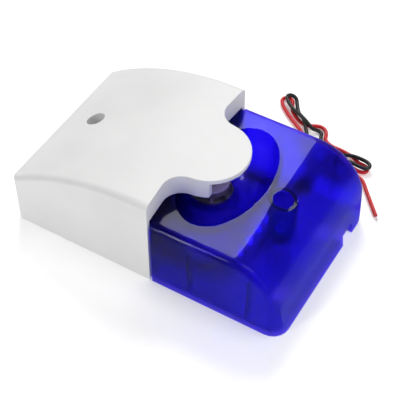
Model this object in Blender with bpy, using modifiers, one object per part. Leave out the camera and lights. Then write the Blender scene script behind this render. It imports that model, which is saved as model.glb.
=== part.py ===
"""Small wired strobe siren: white cover, blue lens, sounder and circuit on a back plate.

It lies on its back: the wall face is at z = 0, +Z points out of the wall, +X runs
along the length towards the lens end and Y runs across. Everything is in metres.
"""

import math

import bmesh
import bpy
from mathutils import Matrix, Vector

# Driving dimensions
LENGTH = 0.123
WIDTH = 0.075
HEIGHT = 0.043
GAP = 0.0003
SCREW_GAP = 0.0003

# Cover
COVER_WALL = 0.0020
COVER_ARC_RADIUS = 0.105
COVER_CORNER_RADIUS = 0.0035
COVER_EDGE_RADIUS = 0.0026
LEAST_ROUNDING = 0.0005
JOINT_X = 0.0024
JOINT_FLARE = 0.0010
WAVE_FILLET_RADIUS = 0.0080
TONGUE_X = 0.0085
TONGUE_RADIUS = 0.0163
OUTLET_X = 0.0165

# Lens
LENS_WALL = 0.0020
LENS_TOP = 0.0333
LENS_BACK_X = -0.0030
LENS_FACE_X = 0.0045
LENS_LIP_WALL = 0.0018
LENS_EDGE_RADIUS = 0.0032
LENS_CORNER_RADIUS = 0.0070
LENS_END_RADIUS = 0.0220
LENS_END_FLARE = 0.0015
LENS_RIB = 0.0008
LENS_RIB_BOTTOM = 0.0050
LENS_RIB_TOP = 0.0270
LENS_RIB_XS = (0.021, 0.0465)
KNOCKOUT_Y = 0.021
KNOCKOUT_WIDTH = 0.0080
KNOCKOUT_HEIGHT = 0.0055

# Dish in the lens, an oval mouth that narrows to a round throat
DISH_X = 0.0170
DISH_RADIUS_X = 0.0167
DISH_RADIUS_Y = 0.0285
DISH_DEPTH = 0.0110
DISH_WALL = 0.0018
THROAT_X = 0.0095
THROAT_RADIUS = 0.0090

# Screws through the front
COVER_SCREW_X = -0.0450
LENS_SCREW_X = 0.0410
COVER_BORE_RADIUS = 0.0038
LENS_BORE_RADIUS = 0.0041
WELL_WALL = 0.0015
WELL_BOTTOM = 0.0120
WELL_SEAT = 0.0016
SCREW_HEAD_RADIUS = 0.0032
SCREW_HEAD_HEIGHT = 0.0022
SCREW_RADIUS = 0.0015
SCREW_LENGTH = 0.0094

# Back plate
PLATE = 0.0022
COLUMN_RADIUS = 0.0040
COLUMN_FLOOR = 0.0012
SLOT_X = 0.0520
SLOT_Y = 0.0180
SLOT_WIDTH = 0.0050
SLOT_LENGTH = 0.0090

# Circuit boards and the small screws that hold them
BOARD = 0.0016
BOARD_BOTTOM = 0.0042
BOARD_X = (-0.0390, -0.0080)
BOARD_SIDE_ROOM = 0.0044
LAMP_BOARD_LENGTH = 0.0074
LAMP_BOARD_CLEARANCE = 0.0014
POST_RADIUS = 0.0025
SMALL_SCREW_RADIUS = 0.0010
SMALL_HEAD_RADIUS = 0.0021
SMALL_HEAD_HEIGHT = 0.0014
SMALL_SCREW_LENGTH = 0.0042
BOARD_SCREW_INSET = 0.0040

# Sounder and horn
CAP_RADIUS = 0.0145
CAP_BOTTOM = 0.0044
CAP_WALL = 0.0015
CAP_HEIGHT = 0.0048
DISC_INSET = 0.0007
DISC_THICKNESS = 0.0005
CERAMIC_RADIUS = 0.0090
HORN_HEIGHT = 0.0088
HORN_NECK_RADIUS = 0.0062
HORN_LEDGE = 0.0042
EAR_WIDTH = 0.0072
EAR_THICKNESS = 0.0020
NOSE_RADIUS = 0.0075
NOSE_TOP = 0.0280
NOSE_THICKNESS = 0.0016
NOSE_STEM_RADIUS = 0.0026
FIN_THICKNESS = 0.0012
GASKET_THICKNESS = 0.0008
GASKET_WIDTH = 0.0024

# Step-up coil, chip and the other board parts
COIL_X = -0.0240
COIL_Y = 0.0150
COIL_RADIUS = 0.0062
COIL_HEIGHT = 0.0100
COIL_WAIST_RADIUS = 0.0034
COIL_FLANGE = 0.0015
CHIP_X = -0.0240
CHIP_Y = -0.0015
CHIP_PITCH = 0.00254
CHIP_LEG = 0.0005
CHIP_LEG_PAIRS = 4
TRANSISTOR_X = -0.0135
TRANSISTOR_Y = 0.0120
TRANSISTOR_RADIUS = 0.0024
TRANSISTOR_LIFT = 0.0025
TRANSISTOR_HEIGHT = 0.0048
TRANSISTOR_PITCH = 0.00127
TRANSISTOR_LEG = 0.0004
CAPACITOR_X = -0.0150
CAPACITOR_Y = -0.0120
CAPACITOR_RADIUS = 0.0040
CAPACITOR_HEIGHT = 0.0105
CHIP_SIZE = (0.0092, 0.0062, 0.0033)
RESISTOR_X = -0.0300
RESISTOR_COUNT = 3
RESISTOR_PITCH = 0.0034
RESISTOR_INSET = 0.0086
RESISTOR_LENGTH = 0.0062
RESISTOR_RADIUS = 0.0011
DIODE_X = -0.0240
DIODE_Y = 0.0056
DIODE_LENGTH = 0.0050
DIODE_RADIUS = 0.0013
WIRE_RADIUS = 0.0003
WIRE_REACH = 0.0018
LAMP_RADIUS = 0.0025
LAMP_HEIGHT = 0.0078
LAMP_COUNT = 6
LAMP_PITCH = 0.0066
LAMP_SCREW_ROOM = 0.0057
LAMP_SCREW_INSET = 0.0030

# Leads
LEAD_RADIUS = 0.00085
INNER_LEAD_RADIUS = 0.0006
TIP_RADIUS = 0.0004
TIP_LENGTH = 0.0022
OUTLET_LEAD_X = (0.0320, 0.0346)
BUSH_WIDTH = 0.0074
BUSH_HEIGHT = 0.0046
BUSH_LIP = 0.0012

ROUND_STEPS = 24
SMALL_STEPS = 12
CUT_REACH = 0.01

COVER_DROP_X = 0.0
HALF_LENGTH = LENGTH / 2
HALF_WIDTH = WIDTH / 2
LIP_HALF_WIDTH = HALF_WIDTH - COVER_WALL - GAP
BOARD_TOP = BOARD_BOTTOM + BOARD
LIP_ROOM = LIP_HALF_WIDTH - LENS_LIP_WALL
BOARD_HALF_WIDTH = LIP_ROOM - BOARD_SIDE_ROOM
LAMP_BOARD_START = THROAT_X + CAP_RADIUS + LAMP_BOARD_CLEARANCE
LAMP_BOARD_X = (LAMP_BOARD_START, LAMP_BOARD_START + LAMP_BOARD_LENGTH)
LAMP_SCREW_Y = (LAMP_COUNT - 1) / 2 * LAMP_PITCH + LAMP_SCREW_ROOM
LAMP_BOARD_HALF_WIDTH = LAMP_SCREW_Y + LAMP_SCREW_INSET
COLUMN_TOP = WELL_BOTTOM - GAP
CAP_TOP = CAP_BOTTOM + CAP_HEIGHT
DISC_RADIUS = CAP_RADIUS - DISC_INSET
DISC_BOTTOM = CAP_TOP + GAP
DISC_TOP = DISC_BOTTOM + DISC_THICKNESS
HORN_BOTTOM = DISC_TOP + GAP
DISH_BOTTOM = LENS_TOP - DISH_DEPTH - DISH_WALL
GASKET_BOTTOM = DISH_BOTTOM - GAP - GASKET_THICKNESS
HORN_TOP = GASKET_BOTTOM - GAP
HORN_LEDGE_Z = HORN_BOTTOM + HORN_LEDGE


def clear_scene():
    for item in list(bpy.data.objects):
        bpy.data.objects.remove(item, do_unlink=True)


def new_collection(name):
    collection = bpy.data.collections.new(name)
    bpy.context.scene.collection.children.link(collection)
    return collection


def material(name, colour, roughness, metallic=0.0, alpha=1.0):
    made = bpy.data.materials.new(name)
    made.use_nodes = True
    shader = made.node_tree.nodes["Principled BSDF"]
    shader.inputs["Base Color"].default_value = (*colour, 1.0)
    shader.inputs["Roughness"].default_value = roughness
    shader.inputs["Metallic"].default_value = metallic
    shader.inputs["Alpha"].default_value = alpha
    made.diffuse_color = (*colour, alpha)
    return made


clear_scene()
PARTS = new_collection("alarm_siren")
CUTTERS = new_collection("cutters")

WHITE = material("white_abs", (0.80, 0.80, 0.79), 0.42)
BLUE = material("blue_lens", (0.02, 0.015, 0.60), 0.12, 0.0, 0.6)
GREY = material("grey_abs", (0.60, 0.60, 0.62), 0.50)
STEEL = material("zinc_steel", (0.62, 0.63, 0.65), 0.30, 1.0)
BRASS = material("brass", (0.78, 0.57, 0.24), 0.28, 1.0)
CERAMIC = material("ceramic", (0.85, 0.83, 0.76), 0.55)
FOAM = material("foam", (0.05, 0.05, 0.05), 0.95)
BOARD_GREEN = material("board_laminate", (0.02, 0.20, 0.08), 0.40)
FERRITE = material("ferrite", (0.08, 0.08, 0.085), 0.70)
COPPER = material("copper", (0.72, 0.35, 0.16), 0.32, 1.0)
BLACK = material("black_plastic", (0.02, 0.02, 0.02), 0.40)
LAMP = material("lamp_epoxy", (0.80, 0.85, 0.95), 0.08, 0.0, 0.7)
RESISTOR = material("resistor_body", (0.60, 0.45, 0.28), 0.50)
SLEEVE = material("capacitor_sleeve", (0.03, 0.05, 0.14), 0.35)
RED_PVC = material("red_pvc", (0.70, 0.02, 0.03), 0.38)
BLACK_PVC = material("black_pvc", (0.015, 0.015, 0.015), 0.38)
RUBBER = material("rubber", (0.03, 0.03, 0.03), 0.80)
TIN = material("tinned_copper", (0.70, 0.70, 0.70), 0.35, 1.0)


def place(name, mesh, finish=None):
    item = bpy.data.objects.new(name, mesh)
    if finish is None:
        CUTTERS.objects.link(item)
        item.hide_render = True
        item.display_type = "WIRE"
    else:
        PARTS.objects.link(item)
        mesh.materials.append(finish)
    return item


def finish_mesh(name, bm, finish):
    bmesh.ops.recalc_face_normals(bm, faces=bm.faces[:])
    mesh = bpy.data.meshes.new(name)
    bm.to_mesh(mesh)
    bm.free()
    return place(name, mesh, finish)


def smooth(item, angle=35):
    item.data.shade_smooth()
    item.data.set_sharp_from_angle(angle=math.radians(angle))
    return item


def box(name, low, high, finish=None):
    low, high = Vector(low), Vector(high)
    size = high - low
    bm = bmesh.new()
    fit = Matrix.Translation((low + high) / 2) @ Matrix.Diagonal((*size, 1.0))
    bmesh.ops.create_cube(bm, size=1.0, matrix=fit)
    return finish_mesh(name, bm, finish)


def rod(name, centre, radius, bottom, top, finish=None, steps=ROUND_STEPS):
    bm = bmesh.new()
    middle = Matrix.Translation((centre[0], centre[1], (bottom + top) / 2))
    bmesh.ops.create_cone(
        bm, cap_ends=True, segments=steps, radius1=radius, radius2=radius,
        depth=top - bottom, matrix=middle,
    )
    return finish_mesh(name, bm, finish)


def prism(name, outline, bottom, top, finish=None):
    """An outline of (x, y) points, extruded from one height to another."""
    bm = bmesh.new()
    face = bm.faces.new([bm.verts.new((x, y, bottom)) for x, y in outline])
    raised = bmesh.ops.extrude_face_region(bm, geom=[face])["geom"]
    moved = [v for v in raised if isinstance(v, bmesh.types.BMVert)]
    bmesh.ops.translate(bm, vec=(0, 0, top - bottom), verts=moved)
    return finish_mesh(name, bm, finish)


def turned(name, centre, profile, finish=None, steps=ROUND_STEPS):
    """A profile of (radius, height) points, from top to bottom, turned about a vertical axis."""
    mesh = bpy.data.meshes.new(name)
    points = [(radius, 0, height) for radius, height in profile]
    closed = profile[0][0] > 0 and profile[-1][0] > 0
    edges = [(i, i + 1) for i in range(len(points) - 1)]
    if closed:
        edges.append((len(points) - 1, 0))
    mesh.from_pydata(points, edges, [])
    item = place(name, mesh, finish)
    item.location = (centre[0], centre[1], 0)
    screw = item.modifiers.new("turn", "SCREW")
    screw.axis = "Z"
    screw.steps = steps
    screw.render_steps = steps
    screw.use_merge_vertices = True
    screw.merge_threshold = 0.00001
    screw.use_smooth_shade = True
    return item


def boolean(item, tool, operation):
    step = item.modifiers.new(tool.name, "BOOLEAN")
    step.operation = operation
    step.solver = "EXACT"
    step.object = tool
    return item


def cut(item, *tools):
    for tool in tools:
        boolean(item, tool, "DIFFERENCE")
    return item


def join(item, *tools):
    for tool in tools:
        boolean(item, tool, "UNION")
    return item


def keep_inside(item, tool):
    return boolean(item, tool, "INTERSECT")


def arc(centre, radius, start, end, steps):
    """Points on a circle from one angle to another, in degrees, both ends included."""
    points = []
    for i in range(steps + 1):
        angle = math.radians(start + (end - start) * i / steps)
        points.append((centre[0] + radius * math.cos(angle), centre[1] + radius * math.sin(angle)))
    return points


def side_block(name, profile, half_width, edge_radius, sheer_height, finish=None):
    """An (x, z) profile extruded across Y, with its long edges above a height rounded."""
    bm = bmesh.new()
    face = bm.faces.new([bm.verts.new((x, -half_width, z)) for x, z in profile])
    raised = bmesh.ops.extrude_face_region(bm, geom=[face])["geom"]
    moved = [v for v in raised if isinstance(v, bmesh.types.BMVert)]
    bmesh.ops.translate(bm, vec=(0, 2 * half_width, 0), verts=moved)
    rounded = []
    for edge in bm.edges:
        a, b = edge.verts[0].co, edge.verts[1].co
        along = abs(a.y - b.y) < 1e-6
        upper = a.z > sheer_height and b.z > sheer_height
        if along and upper:
            rounded.append(edge)
    bmesh.ops.bevel(
        bm, geom=rounded, offset=max(edge_radius, LEAST_ROUNDING), segments=5, profile=0.5, affect="EDGES",
        clamp_overlap=False,
    )
    return finish_mesh(name, bm, finish)


def cover_top(x, inset=0.0):
    """Height of the cover's arched top, or of a surface that lies inset under it."""
    radius = COVER_ARC_RADIUS - inset
    run = min(x - COVER_DROP_X, 0.0)
    return HEIGHT - COVER_ARC_RADIUS + math.sqrt(radius**2 - run**2)


def cover_profile(inset, bottom, end_x):
    """The cover's side view: upright back, arched top, flat tongue."""
    back_x = -HALF_LENGTH + inset
    points = [(back_x, bottom)]
    steps = 12
    for i in range(steps + 1):
        x = back_x + (COVER_DROP_X - back_x) * i / steps
        points.append((x, cover_top(x, inset)))
    points.append((end_x, HEIGHT - inset))
    points.append((end_x, bottom))
    return points


def wave_edge(inset):
    """The curved edge of the cover from its near side to its far side, seen from above."""
    line_x = JOINT_X - inset
    tongue_radius = TONGUE_RADIUS - inset
    fillet_radius = WAVE_FILLET_RADIUS + inset
    fillet_x = line_x + fillet_radius
    reach = tongue_radius + fillet_radius
    fillet_y = math.sqrt(reach**2 - (fillet_x - TONGUE_X) ** 2)
    lean = math.degrees(math.atan2(fillet_y, fillet_x - TONGUE_X))
    near = arc((fillet_x, -fillet_y), fillet_radius, 180, 180 - lean, 7)
    tongue = arc((TONGUE_X, 0), tongue_radius, -lean, lean, 18)
    far = arc((fillet_x, fillet_y), fillet_radius, 180 + lean, 180, 7)
    return near + tongue[1:-1] + far


def cover_outline(inset, corner_radius):
    """The cover seen from above."""
    half = HALF_WIDTH - inset
    back = -HALF_LENGTH + inset
    line_x = JOINT_X - inset
    corner_x = line_x + JOINT_FLARE
    points = [(corner_x, -half)] + wave_edge(inset) + [(corner_x, half)]
    points += arc((back + corner_radius, half - corner_radius), corner_radius, 90, 180, 4)
    points += arc((back + corner_radius, corner_radius - half), corner_radius, 180, 270, 4)
    return points


def screw_bore(name, x, radius):
    """The clear bore above a screw's seat and the hole through the seat."""
    bore = rod(name + "_bore", (x, 0), radius, WELL_BOTTOM + WELL_SEAT, HEIGHT + CUT_REACH)
    hole_radius = SCREW_RADIUS + SCREW_GAP
    hole = rod(name + "_hole", (x, 0), hole_radius, WELL_BOTTOM - CUT_REACH, HEIGHT)
    return bore, hole


def make_cover():
    end_x = TONGUE_X + TONGUE_RADIUS + CUT_REACH
    edge = COVER_EDGE_RADIUS
    cover = side_block("white_cover", cover_profile(0, 0, end_x), HALF_WIDTH, edge, 0.01, WHITE)
    outline = prism(
        "cover_outline", cover_outline(0, COVER_CORNER_RADIUS), -CUT_REACH, HEIGHT + CUT_REACH
    )
    keep_inside(cover, outline)

    wall = COVER_WALL
    half = HALF_WIDTH - wall
    inner_corner = COVER_CORNER_RADIUS - wall
    inside = side_block(
        "cover_inside", cover_profile(wall, -CUT_REACH, end_x), half, edge - wall, 0.01
    )
    skirt_line = prism(
        "cover_skirt_line", cover_outline(wall, inner_corner), LENS_TOP + GAP, HEIGHT + CUT_REACH
    )
    room_low = (-HALF_LENGTH + wall, -HALF_WIDTH, -2 * CUT_REACH)
    room = box("cover_room", room_low, (end_x + CUT_REACH, HALF_WIDTH, LENS_TOP + GAP))
    outlet_low = (OUTLET_X, -TONGUE_RADIUS, LENS_TOP)
    outlet = box("sound_outlet", outlet_low, (end_x + CUT_REACH, TONGUE_RADIUS, HEIGHT))
    join(room, skirt_line, outlet)
    keep_inside(inside, room)
    cut(cover, inside)

    well_radius = COVER_BORE_RADIUS + WELL_WALL
    well = rod("cover_well", (COVER_SCREW_X, 0), well_radius, WELL_BOTTOM, HEIGHT)
    shape = side_block("cover_shape", cover_profile(wall / 2, 0, end_x), half, edge - wall, 0.01)
    keep_inside(well, shape)
    join(cover, well)
    cut(cover, *screw_bore("cover", COVER_SCREW_X, COVER_BORE_RADIUS))
    return cover


def lens_profile(inset, back_x, bottom):
    """The lens's side view: flat top, quarter-round end, slightly flared foot."""
    end_x = HALF_LENGTH - LENS_END_FLARE
    centre = (end_x - LENS_END_RADIUS, LENS_TOP - LENS_END_RADIUS)
    points = [(back_x, bottom), (back_x, LENS_TOP - inset)]
    points += arc(centre, LENS_END_RADIUS - inset, 90, 0, 10)
    points.append((HALF_LENGTH - inset, 0))
    if bottom < 0:
        points.append((HALF_LENGTH - inset, bottom))
    return points


def lens_outline(inset, half_width, back_x, front_x):
    """The lens seen from above, with round corners at the far end."""
    radius = LENS_CORNER_RADIUS - inset
    half = half_width - inset
    points = [(back_x, -half)]
    points += arc((front_x - inset - radius, radius - half), radius, 270, 360, 5)
    points += arc((front_x - inset - radius, half - radius), radius, 0, 90, 5)
    points.append((back_x, half))
    return points


def dish_rings(name, inset, finish=None):
    """The bowl between the oval rim and the round throat, as bridged rings."""
    bm = bmesh.new()
    steps = 6
    loops = []
    levels = [i / steps for i in range(steps + 1)]
    rings = [(LENS_TOP + CUT_REACH, 0.0)] if inset == 0 else []
    rings += [(None, t) for t in levels]
    if inset == 0:
        rings.append((DISH_BOTTOM - CUT_REACH, 1.0))
    for height, t in rings:
        angle = t * math.pi / 2
        ease = math.cos(angle)
        z = LENS_TOP - (DISH_DEPTH + inset) * math.sin(angle) if height is None else height
        radius_x = THROAT_RADIUS + (DISH_RADIUS_X - THROAT_RADIUS) * ease + inset
        radius_y = THROAT_RADIUS + (DISH_RADIUS_Y - THROAT_RADIUS) * ease + inset
        x = THROAT_X + (DISH_X - THROAT_X) * ease
        place_ring = Matrix.Translation((x, 0, z)) @ Matrix.Diagonal((radius_x, radius_y, 1, 1))
        ring = bmesh.ops.create_circle(bm, segments=36, radius=1.0, matrix=place_ring)["verts"]
        loops.append(ring)
    for lower, upper in zip(loops, loops[1:]):
        edges = [e for e in bm.edges if all(v in lower or v in upper for v in e.verts)]
        bmesh.ops.bridge_loops(bm, edges=edges)
    for end in (loops[0], loops[-1]):
        bm.faces.new(end)
    return finish_mesh(name, bm, finish)


def make_lens():
    tall = LENS_TOP + CUT_REACH
    wall = LENS_WALL
    edge = LENS_EDGE_RADIUS
    face_profile = lens_profile(0, LENS_FACE_X, 0)
    lens = side_block("blue_lens", face_profile, HALF_WIDTH, edge, 0.014, BLUE)
    outline = lens_outline(0, HALF_WIDTH, LENS_FACE_X - CUT_REACH, HALF_LENGTH)
    keep_inside(lens, prism("lens_outline", outline, -CUT_REACH, tall))

    lip_step = HALF_WIDTH - LIP_HALF_WIDTH
    lip_profile = [
        (LENS_BACK_X, 0), (LENS_BACK_X, LENS_TOP),
        (LENS_FACE_X + wall, LENS_TOP), (LENS_FACE_X + wall, 0),
    ]
    join(lens, side_block("lens_lip", lip_profile, LIP_HALF_WIDTH, edge - lip_step, 0.014))

    inner = side_block(
        "lens_inside", lens_profile(wall, LENS_FACE_X + wall, -CUT_REACH), HALF_WIDTH - wall,
        edge - wall, 0.014,
    )
    inner_outline = lens_outline(wall, HALF_WIDTH, LENS_FACE_X - CUT_REACH, HALF_LENGTH)
    keep_inside(inner, prism("lens_inner_outline", inner_outline, -2 * CUT_REACH, tall))
    lip_wall = LENS_LIP_WALL
    lip_inner_profile = [
        (LENS_BACK_X - CUT_REACH, -CUT_REACH), (LENS_BACK_X - CUT_REACH, LENS_TOP - wall),
        (LENS_FACE_X + 2 * wall, LENS_TOP - wall), (LENS_FACE_X + 2 * wall, -CUT_REACH),
    ]
    lip_inner = side_block(
        "lens_lip_inside", lip_inner_profile, LIP_HALF_WIDTH - lip_wall,
        edge - lip_step - lip_wall, 0.014,
    )
    join(inner, lip_inner)
    cut(lens, inner)

    bowl = dish_rings("dish_outside", DISH_WALL)
    join(lens, bowl)
    well_radius = LENS_BORE_RADIUS + WELL_WALL
    well_top = LENS_TOP - wall / 2
    join(lens, rod("lens_well", (LENS_SCREW_X, 0), well_radius, WELL_BOTTOM, well_top))
    for side in (-1, 1):
        for i, x in enumerate(LENS_RIB_XS):
            y = side * (HALF_WIDTH - wall - LENS_RIB)
            far = side * (HALF_WIDTH - wall / 2)
            low = (x - LENS_RIB, min(y, far), LENS_RIB_BOTTOM)
            high = (x + LENS_RIB, max(y, far), LENS_RIB_TOP)
            join(lens, box(f"lens_rib_{i}_{side}", low, high))
    cut(lens, dish_rings("dish_inside", 0))
    cut(lens, *screw_bore("lens", LENS_SCREW_X, LENS_BORE_RADIUS))
    half_notch = KNOCKOUT_WIDTH / 2
    end_low = (HALF_LENGTH - 3 * wall, KNOCKOUT_Y - half_notch, -CUT_REACH)
    end_high = (HALF_LENGTH + CUT_REACH, KNOCKOUT_Y + half_notch, KNOCKOUT_HEIGHT)
    cut(lens, box("knockout", end_low, end_high))
    bush_x = sum(OUTLET_LEAD_X) / 2
    half_bush = BUSH_WIDTH / 2 + GAP
    bush_low = (bush_x - half_bush, HALF_WIDTH - 2 * wall, -CUT_REACH)
    bush_high = (bush_x + half_bush, HALF_WIDTH + CUT_REACH, BUSH_HEIGHT + GAP)
    cut(lens, box("bush_notch", bush_low, bush_high))
    return lens


def plate_outline():
    """The back plate seen from above: it fits inside the cover, the lens's lip and the lens."""
    wide = HALF_WIDTH - COVER_WALL - GAP
    lens_wide = HALF_WIDTH - LENS_WALL - GAP
    waist = LIP_HALF_WIDTH - LENS_LIP_WALL - GAP
    back = -HALF_LENGTH + COVER_WALL + GAP
    front = HALF_LENGTH - LENS_WALL - 2 * GAP
    waist_back = LENS_BACK_X - GAP
    waist_front = LENS_FACE_X + LENS_WALL + GAP
    corner = max(COVER_CORNER_RADIUS - COVER_WALL, 0.0005)
    lens_corner = LENS_CORNER_RADIUS - LENS_WALL
    near = arc((back + corner, corner - wide), corner, 180, 270, 3)
    near += [(waist_back, -wide), (waist_back, -waist), (waist_front, -waist)]
    near += [(waist_front, -lens_wide)]
    near += arc((front - lens_corner, lens_corner - lens_wide), lens_corner, 270, 360, 4)
    far = [(x, -y) for x, y in reversed(near)]
    return near + far


def post_hole(name, x, y, top):
    return rod(name, (x, y), SMALL_SCREW_RADIUS + SCREW_GAP, 0.0008, top, steps=SMALL_STEPS)


def board_screw_places():
    inset = BOARD_SCREW_INSET
    xs = (BOARD_X[0] + inset, BOARD_X[1] - inset)
    y = BOARD_HALF_WIDTH - inset
    return [(x, side * y) for x in xs for side in (-1, 1)]


def lamp_screw_places():
    x = sum(LAMP_BOARD_X) / 2
    return [(x, -LAMP_SCREW_Y), (x, LAMP_SCREW_Y)]


def horn_screw_places():
    y = CAP_RADIUS + POST_RADIUS + 2 * GAP
    return [(THROAT_X, -y), (THROAT_X, y)]


def make_plate():
    plate = prism("back_plate", plate_outline(), 0, PLATE, WHITE)
    for x in (COVER_SCREW_X, LENS_SCREW_X):
        join(plate, rod(f"column_{x}", (x, 0), COLUMN_RADIUS, PLATE / 2, COLUMN_TOP))
        hole_radius = SCREW_RADIUS + SCREW_GAP
        cut(plate, rod(f"column_hole_{x}", (x, 0), hole_radius, COLUMN_FLOOR, HEIGHT))
    for i, (x, y) in enumerate(board_screw_places() + lamp_screw_places()):
        top = BOARD_BOTTOM - GAP
        join(plate, rod(f"post_{i}", (x, y), POST_RADIUS, PLATE / 2, top, steps=16))
        cut(plate, post_hole(f"post_hole_{i}", x, y, HEIGHT))
    for i, (x, y) in enumerate(horn_screw_places()):
        post = rod(f"horn_post_{i}", (x, y), POST_RADIUS, PLATE / 2, HORN_BOTTOM - GAP, steps=16)
        join(plate, post)
        hole = SMALL_SCREW_RADIUS + SCREW_GAP
        bottom = HORN_BOTTOM - SMALL_SCREW_LENGTH
        cut(plate, rod(f"horn_post_hole_{i}", (x, y), hole, bottom, HEIGHT, steps=SMALL_STEPS))
    ring = [
        (CAP_RADIUS - CAP_WALL, CAP_BOTTOM - GAP), (CAP_RADIUS, CAP_BOTTOM - GAP),
        (CAP_RADIUS, PLATE / 2), (CAP_RADIUS - CAP_WALL, PLATE / 2),
    ]
    join(plate, turned("cap_rest", (THROAT_X, 0), ring))
    for i, (sx, sy) in enumerate(((-1, -1), (-1, 1), (1, -1), (1, 1))):
        x, y = sx * SLOT_X, sy * SLOT_Y
        half = SLOT_LENGTH / 2 - SLOT_WIDTH / 2
        radius = SLOT_WIDTH / 2
        ends = arc((x, y - half), radius, 180, 360, 6) + arc((x, y + half), radius, 0, 180, 6)
        cut(plate, prism(f"wall_slot_{i}", ends, -CUT_REACH, PLATE + CUT_REACH))
    half_notch = KNOCKOUT_WIDTH / 2
    low = (HALF_LENGTH - 3 * LENS_WALL, KNOCKOUT_Y - half_notch, -CUT_REACH)
    cut(plate, box("plate_knockout", low, (HALF_LENGTH, KNOCKOUT_Y + half_notch, HEIGHT)))
    bush_x = sum(OUTLET_LEAD_X) / 2
    half_bush = BUSH_WIDTH / 2 + GAP
    low = (bush_x - half_bush, HALF_WIDTH - 3 * LENS_WALL, -CUT_REACH)
    cut(plate, box("plate_bush_seat", low, (bush_x + half_bush, HALF_WIDTH, HEIGHT)))
    return plate


def make_screw(name, x, y, seat, head_radius, head_height, radius, length, steps):
    """A pan-head screw whose head rests on a seat, with a cross recess in the head."""
    top = seat + head_height
    profile = [
        (0, top), (head_radius * 0.62, top - head_height * 0.08),
        (head_radius, top - head_height * 0.55), (head_radius, seat),
        (radius, seat), (radius, seat - length + 2 * radius), (radius * 0.25, seat - length),
        (0, seat - length),
    ]
    screw = turned(name, (x, y), profile, STEEL, steps)
    arm, thick = head_radius * 0.5, head_radius * 0.11
    floor = top - head_height * 0.5
    tall = top + head_height
    slot = box(name + "_slot", (x - arm, y - thick, floor), (x + arm, y + thick, tall))
    cross = box(name + "_cross", (x - thick, y - arm, floor), (x + thick, y + arm, tall))
    join(slot, cross)
    cut(screw, slot)
    return screw


def make_screws():
    seat = WELL_BOTTOM + WELL_SEAT + GAP
    for name, x in (("cover_screw", COVER_SCREW_X), ("lens_screw", LENS_SCREW_X)):
        make_screw(
            name, x, 0, seat, SCREW_HEAD_RADIUS, SCREW_HEAD_HEIGHT, SCREW_RADIUS,
            SCREW_LENGTH, 16,
        )
    small = (SMALL_HEAD_RADIUS, SMALL_HEAD_HEIGHT, SMALL_SCREW_RADIUS, SMALL_SCREW_LENGTH)
    for i, (x, y) in enumerate(board_screw_places()):
        make_screw(f"board_screw_{i + 1}", x, y, BOARD_TOP + GAP, *small, SMALL_STEPS)
    for i, (x, y) in enumerate(lamp_screw_places()):
        make_screw(f"lamp_board_screw_{i + 1}", x, y, BOARD_TOP + GAP, *small, SMALL_STEPS)
    for i, (x, y) in enumerate(horn_screw_places()):
        seat = HORN_BOTTOM + EAR_THICKNESS + GAP
        make_screw(f"horn_screw_{i + 1}", x, y, seat, *small, SMALL_STEPS)


def make_board(name, xs, half_width, places):
    board = box(name, (xs[0], -half_width, BOARD_BOTTOM), (xs[1], half_width, BOARD_TOP), BOARD_GREEN)
    for i, (x, y) in enumerate(places):
        radius = SMALL_SCREW_RADIUS + SCREW_GAP
        hole = rod(f"{name}_hole_{i}", (x, y), radius, 0, HEIGHT, steps=SMALL_STEPS)
        cut(board, hole)
    return board


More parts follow.
